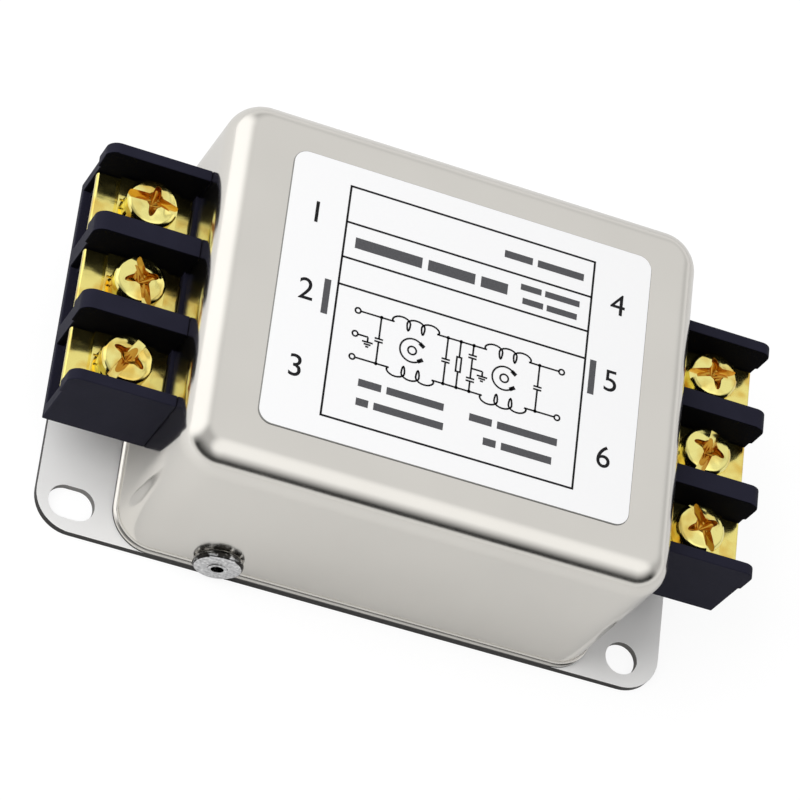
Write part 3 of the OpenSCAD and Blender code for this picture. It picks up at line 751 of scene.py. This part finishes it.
        # Height on the label, height of the dashes, and both ends of each dash
        rows = (
            (8.45, bold, ((-15.1, -6.2), (-5.4, 0.9), (1.7, 5.3))),
            (13.4, plain, ((4.4, 8.2), (8.9, 15.2))),
            (9.45, small, ((7.0, 9.8), (10.3, 15.0))),
            (7.55, small, ((7.4, 10.2), (10.7, 14.8))),
            (-10.3, plain, ((-12.4, -9.4), (-8.7, -1.2))),
            (-12.9, plain, ((-12.4, -10.8), (-10.1, -1.0))),
            (-10.5, plain, ((2.2, 5.2), (5.9, 13.9))),
            (-13.2, plain, ((4.3, 6.0), (6.7, 13.4))))
        for y, height, dashes in rows:
            for left, right in dashes:
                self.bar(bm, (left, y), (right, y), height)
        for x in (-17.9, 17.6):
            self.bar(bm, (x, -2.5), (x, 2.3), small)

    def draw_numbers(self, s):
        """Terminal numbers, 1 to 3 at the line end and 4 to 6 at the load end"""
        places = [(x, y) for x in (-20.5, 20.15) for y in (10.9, -0.05, -10.7)]
        for number, (x, y) in enumerate(places, 1):
            bm = self.digit(number, s)
            place = Vector((x * MM, y * MM, 0)) + self.middle
            place.z = self.base + s.print_height / 2
            bmesh.ops.translate(bm, vec=place, verts=bm.verts)
            add_piece(f"terminal_number_{number}", bm, self.ink)

    def digit(self, number, s):
        """A number in Blender's own font, round the origin"""
        data = bpy.data.curves.new("number", "FONT")
        data.body = str(number)
        data.align_x, data.align_y = "CENTER", "CENTER"
        data.size = s.number * self.FONT_SIZE
        data.extrude = s.print_height / 2
        data.offset = s.number_weight
        data.resolution_u = 6
        maker = bpy.data.objects.new("number", data)
        bpy.context.scene.collection.objects.link(maker)
        ready = maker.evaluated_get(bpy.context.evaluated_depsgraph_get())
        mesh = bpy.data.meshes.new_from_object(ready)
        bpy.data.objects.remove(maker)
        bm = bmesh.new()
        bm.from_mesh(mesh)
        bpy.data.meshes.remove(mesh)
        return bm


# ---- terminals ----

class FILTER_OT_blocks(bpy.types.Operator):
    """Finish the two moulded terminal blocks, with shade painted on the walls between their ways
    """
    bl_idname = "line_filter.blocks"
    bl_label = "Terminal blocks"

    # Faces this close to a block's two outer ends aren't between its ways
    END_DEPTH = 1 * MM

    def execute(self, context):
        s = context.scene.filter_terminals
        material = moulded("black_moulding", s.moulding, 0.46)
        shade_between_ways = moulded("inner_moulding", s.inner_moulding, 0.75)
        for end in ENDS:
            node = end + "_terminal_block"
            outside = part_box(node)[1].y - self.END_DEPTH
            block = dress(node, material, s.block_edge, 3)
            # The walls between the ways, facing along the block, are painted near-black: painted
            # shade between the barriers
            other_finish(block, shade_between_ways, lambda face: abs(face.normal.y) > 0.9
                         and abs(face.center.y) < outside)
        return {"FINISHED"}


class FILTER_OT_brass(bpy.types.Operator):
    """Finish strips, clamp plates, washers and nuts"""
    bl_idname = "line_filter.brass"
    bl_label = "Brass and nuts"

    def execute(self, context):
        s = context.scene.filter_terminals
        strip = stamped_brass("strip_brass", s.brass, 0.12)
        clamp = stamped_brass("clamp_brass", s.brass, 0.10)
        screw = stamped_brass("screw_brass", s.screw, 0.10)
        zinc = plated("nut_zinc", s.zinc, 0.2)
        for end in ENDS:
            for way in range(1, 4):
                dress(f"{end}_terminal_{way}", strip, s.brass_edge)
            dress(end + "_clamp_plates", clamp, s.brass_edge)
            dress(end + "_spring_washers", screw, s.brass_edge)
            dress(end + "_terminal_nuts", zinc, s.nut_edge)
        return {"FINISHED"}


class FILTER_OT_screws(bpy.types.Operator):
    """Make the terminal screws, with a cross recess and a slot in each head"""
    bl_idname = "line_filter.screws"
    bl_label = "Terminal screws"

    # How far each screw is turned, in degrees, from the rear way to the front
    TURNS = {"line": (-7, 111, 61), "load": (12, 74, 118)}
    # Shares of the head's radius: the ring that it rests on, the shank's tip and its root
    SEAT, TIP, ROOT = 0.93, 0.42, 0.53
    # Height of the head's side over the seat, and drop of its top's middle under full height
    SIDE_FOOT, TOP_MARGIN = 0.15 * MM, 0.03 * MM
    # Chamfer round the recess: how far in and how far down
    CHAMFER_IN, CHAMFER_DOWN = 0.07 * MM, 0.06 * MM
    # Recess below its chamfer: share of the cross's outline, and depth under the top
    RECESS = ((0.86, 1.05 * MM), (0.50, 1.35 * MM), (0.10, 1.7 * MM))

    def execute(self, context):
        s = context.scene.filter_terminals
        bright = stamped_brass("screw_gold", s.screw, 0.09, dishing=3.2, tarnish=0.34)
        # Recess and slot walls take this darker brass: painted shade in the hollows
        deep = stamped_brass("recess_painted_shade", s.recess, 0.18, dishing=1.6)
        for end, turns in self.TURNS.items():
            low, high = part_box(end + "_terminal_screws")
            radius = (high.x - low.x) / 2
            x, y = (low.x + high.x) / 2, high.y - radius
            pitch = (high.y - low.y) / 2 - radius
            whole = bmesh.new()
            for way, turn in enumerate(turns):
                place = Vector((x, y - way * pitch, low.z + s.screw_length))
                self.add_screw(whole, s, radius, place, math.radians(turn))
            piece = add_piece(end + "_screws", whole, bright,
                              (end + "_terminal_screws",))
            piece.data.materials.append(deep)
        return {"FINISHED"}

    def add_screw(self, whole, s, radius, place, turn):
        """Adds one screw to the whole: a head, and a shank that narrows to its tip"""
        bm = bmesh.new()
        self.turn_head(bm, s, radius)
        self.cut_slot(bm, s, radius)
        bmesh.ops.create_cone(
            bm, cap_ends=True, segments=32, radius1=radius * self.TIP,
            radius2=radius * self.ROOT, depth=s.screw_length,
            matrix=Matrix.Translation((0, 0, -s.screw_length / 2)))
        bmesh.ops.recalc_face_normals(bm, faces=bm.faces)
        bmesh.ops.rotate(bm, cent=(0, 0, 0), matrix=Matrix.Rotation(turn, 3, "Z"),
                         verts=bm.verts)
        bmesh.ops.translate(bm, vec=place, verts=bm.verts)
        mesh = bpy.data.meshes.new("screw")
        bm.to_mesh(mesh)
        bm.free()
        whole.from_mesh(mesh)
        bpy.data.meshes.remove(mesh)

    def crown(self, s, radius, out):
        """Height of the slightly domed top at a distance from the middle"""
        flat = radius - s.screw_edge
        return s.head_height - self.TOP_MARGIN - s.head_crown * (out / flat) ** 2

    def head_rings(self, s, radius):
        """Rings of the head, then of the recess. Each is a function that gives the ring's
        radius and height from the cross's radius at a place."""
        edge = s.screw_edge
        flat = radius - edge
        side = self.crown(s, radius, flat) - edge
        rim_steps = 6
        outline = [(radius, self.SIDE_FOOT)]
        for step in range(rim_steps + 1):
            a = math.pi / 2 * step / rim_steps
            outline.append((flat + edge * math.cos(a), side + edge * math.sin(a)))
        rings = [lambda cross, place=place: place for place in outline]
        rings += [
            lambda cross: ((flat + cross) / 2, self.crown(s, radius, (flat + cross) / 2)),
            lambda cross: (cross, self.crown(s, radius, cross))]
        recess = [lambda cross: (cross - self.CHAMFER_IN,
                                 self.crown(s, radius, cross) - self.CHAMFER_DOWN)]
        recess += [lambda cross, share=share, depth=depth: (cross * share, s.head_height - depth)
                   for share, depth in self.RECESS]
        return rings, recess

    def turn_head(self, bm, s, radius):
        """Rings from under the head, over its rim and down into the recess"""
        ring = bmesh.ops.create_circle(bm, segments=96, radius=radius * self.SEAT)["verts"]
        bmesh.ops.holes_fill(bm, edges=bm.edges)
        arm = s.recess_reach - s.recess_waist
        rings, recess = self.head_rings(s, radius)
        edges = [e for e in bm.edges if all(v in ring for v in e.verts)]
        for shape in rings + recess:
            made = bmesh.ops.extrude_edge_only(bm, edges=edges)["geom"]
            verts = {v for v in made if isinstance(v, bmesh.types.BMVert)}
            edges = [e for e in made if isinstance(e, bmesh.types.BMEdge)
                     and all(v in verts for v in e.verts)]
            for v in verts:
                a = math.atan2(v.co.y, v.co.x)
                cross = s.recess_waist + arm * abs(math.cos(2 * a)) ** 5
                out, height = shape(cross)
                v.co = (math.cos(a) * out, math.sin(a) * out, height)
            # The recess's faces take the painted shade of the second finish
            if shape in recess:
                for face in {f for v in verts for f in v.link_faces}:
                    face.material_index = 1
        for face in bmesh.ops.holes_fill(bm, edges=edges)["faces"]:
            face.material_index = 1

    def cut_slot(self, bm, s, radius):
        """A slot straight across, made by lowering a strip of the top"""
        half, wall = s.slot / 2, 0.02 * MM
        for y in (-half, -half + wall, half - wall, half):
            bmesh.ops.bisect_plane(bm, geom=bm.verts[:] + bm.edges[:] + bm.faces[:],
                                   plane_co=(0, y, 0), plane_no=(0, 1, 0), dist=SAME_POINT)
        floor = self.crown(s, radius, radius - s.screw_edge) - s.slot_depth
        for v in bm.verts:
            if abs(v.co.y) < half - wall / 2 and v.co.z > floor:
                v.co.z = floor
        bm.normal_update()
        # The slot's thin walls take the same painted shade
        for face in bm.faces:
            middle = face.calc_center_median()
            if half - wall < abs(middle.y) < half and middle.z > floor:
                face.material_index = 1


# ---- inside ----

class FILTER_OT_inside(bpy.types.Operator):
    """Finish the board, chokes, capacitors and leads inside the can"""
    bl_idname = "line_filter.inside"
    bl_label = "Parts inside"

    def execute(self, context):
        s = context.scene.filter_inside
        paint_inside(["insulating_tray", "line_choke_divider", "load_choke_divider"],
                     moulded("tray_moulding", s.tray, 0.4))
        paint_inside(["circuit_board"], moulded("board_laminate", s.laminate, 0.25))
        paint_inside(["line_choke_core", "load_choke_core"],
                     moulded("core_ferrite", s.ferrite, 0.45))
        windings = [f"{end}_choke_{side}_winding" for end in ENDS
                    for side in ("live", "neutral")]
        paint_inside(windings, stamped_brass("enamelled_copper", s.enamel, 0.2))
        paint_inside(["line_x_capacitor", "middle_x_capacitor", "load_x_capacitor"],
                     moulded("capacitor_box", s.box, 0.25))
        paint_inside(["line_y_capacitor", "load_y_capacitor"],
                     moulded("ceramic_coat", s.ceramic, 0.2))
        paint_inside(["bleed_resistor"], moulded("resistor_coat", s.coat, 0.25))
        paint_inside(["earth_lead"], moulded("earth_sleeve", s.sleeve, 0.4))
        paint_inside(["earth_lug"], plated("lug_tin", s.tin, 0.25))
        return {"FINISHED"}


# ---- stage ----

class FILTER_OT_stage(bpy.types.Operator):
    """Set the floor, the lights and the camera"""
    bl_idname = "line_filter.stage"
    bl_label = "Stage"

    # Ramps over a direction's height (0 straight down, 1 straight up) and depth (0 in front,
    # 1 behind): how far the room turns from wall to sky, and where its dark band lies
    SKY = ((0.55, 0.0), (0.65, 1.0))
    FRONT = ((0.30, 1.0), (0.45, 0.0))
    BAND = ((0.0, 0.0), (0.572, 0.0), (0.588, 1.0), (0.66, 1.0), (0.75, 0.66), (0.82, 0.33),
            (0.89, 0.0))
    # Wide soft lights: direction, level, and the cosines where each begins and is full
    LIGHTS = (((0.27, 0.49, 0.82), 0.79, (0.60, 0.88)),
              ((0.27, -0.55, 0.79), 1.10, (0.72, 0.93)),
              ((-0.82, 0.50, 0.27), 1.30, (0.72, 0.95)))

    def execute(self, context):
        s = context.scene.filter_stage
        self.floor(s)
        self.room(s)
        self.lamp(s)
        self.camera(s)
        context.scene.view_settings.view_transform = "Standard"
        return {"FINISHED"}

    def floor(self, s):
        """Pale matt floor, seen brighter than it lights the part"""
        bm = bmesh.new()
        just_under = Vector((0, 0, CAD_BOX[0][2] - 0.03 * MM))
        bmesh.ops.create_grid(bm, x_segments=8, y_segments=8, size=s.floor_size / 2,
                              matrix=Matrix.Translation(just_under))
        mesh = bpy.data.meshes.new("floor")
        bm.to_mesh(mesh)
        bm.free()
        floor = bpy.data.objects.new("floor", mesh)
        bpy.context.scene.collection.objects.link(floor)
        f = finish_named("floor_paper")
        grain = f.noise(400.0, 2.0)
        matt = f.node("ShaderNodeBsdfDiffuse", None, {
            "Color": f.mix(grain, rgba(s.floor_colour, 0.99), rgba(s.floor_colour))})
        glow = f.node("ShaderNodeEmission", None, {"Color": grey(1.0), "Strength": 1.1})
        seen = f.node("ShaderNodeLightPath", output=0)
        shown = f.node("ShaderNodeMixShader", None, {0: seen * 0.8, 1: matt, 2: glow})
        f.node("ShaderNodeOutputMaterial", None, {"Surface": shown})
        mesh.materials.append(f.owner)

    def room(self, s):
        """An even room with one dark band in front, and white behind everything"""
        world = bpy.data.worlds.new("room")
        bpy.context.scene.world = world
        f = Finish(world)
        way = f.node("ShaderNodeTexCoord", output=0)
        depth, height = [
            f.node("ShaderNodeSeparateXYZ", None, {0: way}, axis) * 0.5 + 0.5
            for axis in (1, 2)]
        room = f.mix(f.ramp(height, self.SKY), grey(s.wall_level), grey(s.sky_level))
        for towards, level, (begins, full) in self.LIGHTS:
            near = f.node("ShaderNodeVectorMath", {"operation": "DOT_PRODUCT"},
                          {0: way, 1: towards}, 1)
            light = f.ramp(near, ((begins, 0.0), (full, 1.0)), "EASE")
            room = f.mix(light, room, grey(level))
        dark = f.ramp(depth, self.FRONT) * f.ramp(height, self.BAND)
        room = f.mix(dark, room, grey(s.dark_level))
        seen = f.node("ShaderNodeLightPath", output=0)
        shade = f.mix(seen, room, grey(1.0))
        glow = f.node("ShaderNodeBackground", None, {"Color": shade, "Strength": 1.0})
        f.node("ShaderNodeOutputWorld", None, {"Surface": glow})

    def lamp(self, s):
        """Soft lamp that points at the part and isn't seen in its reflections"""
        data = bpy.data.lights.new("softbox", "AREA")
        data.shape, data.size, data.energy = "SQUARE", s.lamp_size, s.lamp_power
        lamp = bpy.data.objects.new("softbox", data)
        bpy.context.scene.collection.objects.link(lamp)
        place = Vector(s.lamp_place)
        lamp.location = place
        lamp.visible_glossy = False
        lamp.rotation_euler = (-place).to_track_quat("-Z", "Y").to_euler()

    def camera(self, s):
        data = bpy.data.cameras.new("camera")
        data.sensor_width, data.lens = 36.0, s.camera_lens
        data.clip_start, data.clip_end = 0.05, 20.0
        camera = bpy.data.objects.new("camera", data)
        bpy.context.scene.collection.objects.link(camera)
        camera.location, camera.rotation_euler = s.camera_place, s.camera_turn
        bpy.context.scene.camera = camera


# ---- add-on ----

OPERATORS = (FILTER_OT_can, FILTER_OT_plate, FILTER_OT_label, FILTER_OT_blocks,
             FILTER_OT_brass, FILTER_OT_screws, FILTER_OT_inside, FILTER_OT_stage)
SETTINGS = {"filter_stage": StageSettings, "filter_can": CanSettings,
            "filter_label": LabelSettings, "filter_terminals": TerminalSettings,
            "filter_inside": InsideSettings}


class FILTER_PT_sidebar(bpy.types.Panel):
    """Buttons and settings of the line filter"""
    bl_label = "Line Filter"
    bl_idname = "FILTER_PT_sidebar"
    bl_space_type = "VIEW_3D"
    bl_region_type = "UI"
    bl_category = "Line Filter"

    def draw(self, context):
        for operator in OPERATORS:
            self.layout.operator(operator.bl_idname)
        for name, group in SETTINGS.items():
            box = self.layout.box()
            box.label(text=group.__doc__)
            for key in group.__annotations__:
                box.prop(getattr(context.scene, name), key)


def register():
    for cls in (*SETTINGS.values(), *OPERATORS, FILTER_PT_sidebar):
        bpy.utils.register_class(cls)
    for name, group in SETTINGS.items():
        setattr(bpy.types.Scene, name, PointerProperty(type=group))


def unregister():
    for name in SETTINGS:
        delattr(bpy.types.Scene, name)
    for cls in reversed((*SETTINGS.values(), *OPERATORS, FILTER_PT_sidebar)):
        bpy.utils.unregister_class(cls)


def main():
    register()
    bpy.ops.line_filter.can()
    bpy.ops.line_filter.plate()
    bpy.ops.line_filter.label()
    bpy.ops.line_filter.blocks()
    bpy.ops.line_filter.brass()
    bpy.ops.line_filter.screws()
    bpy.ops.line_filter.inside()
    bpy.ops.line_filter.stage()


if __name__ == "__main__":
    main()
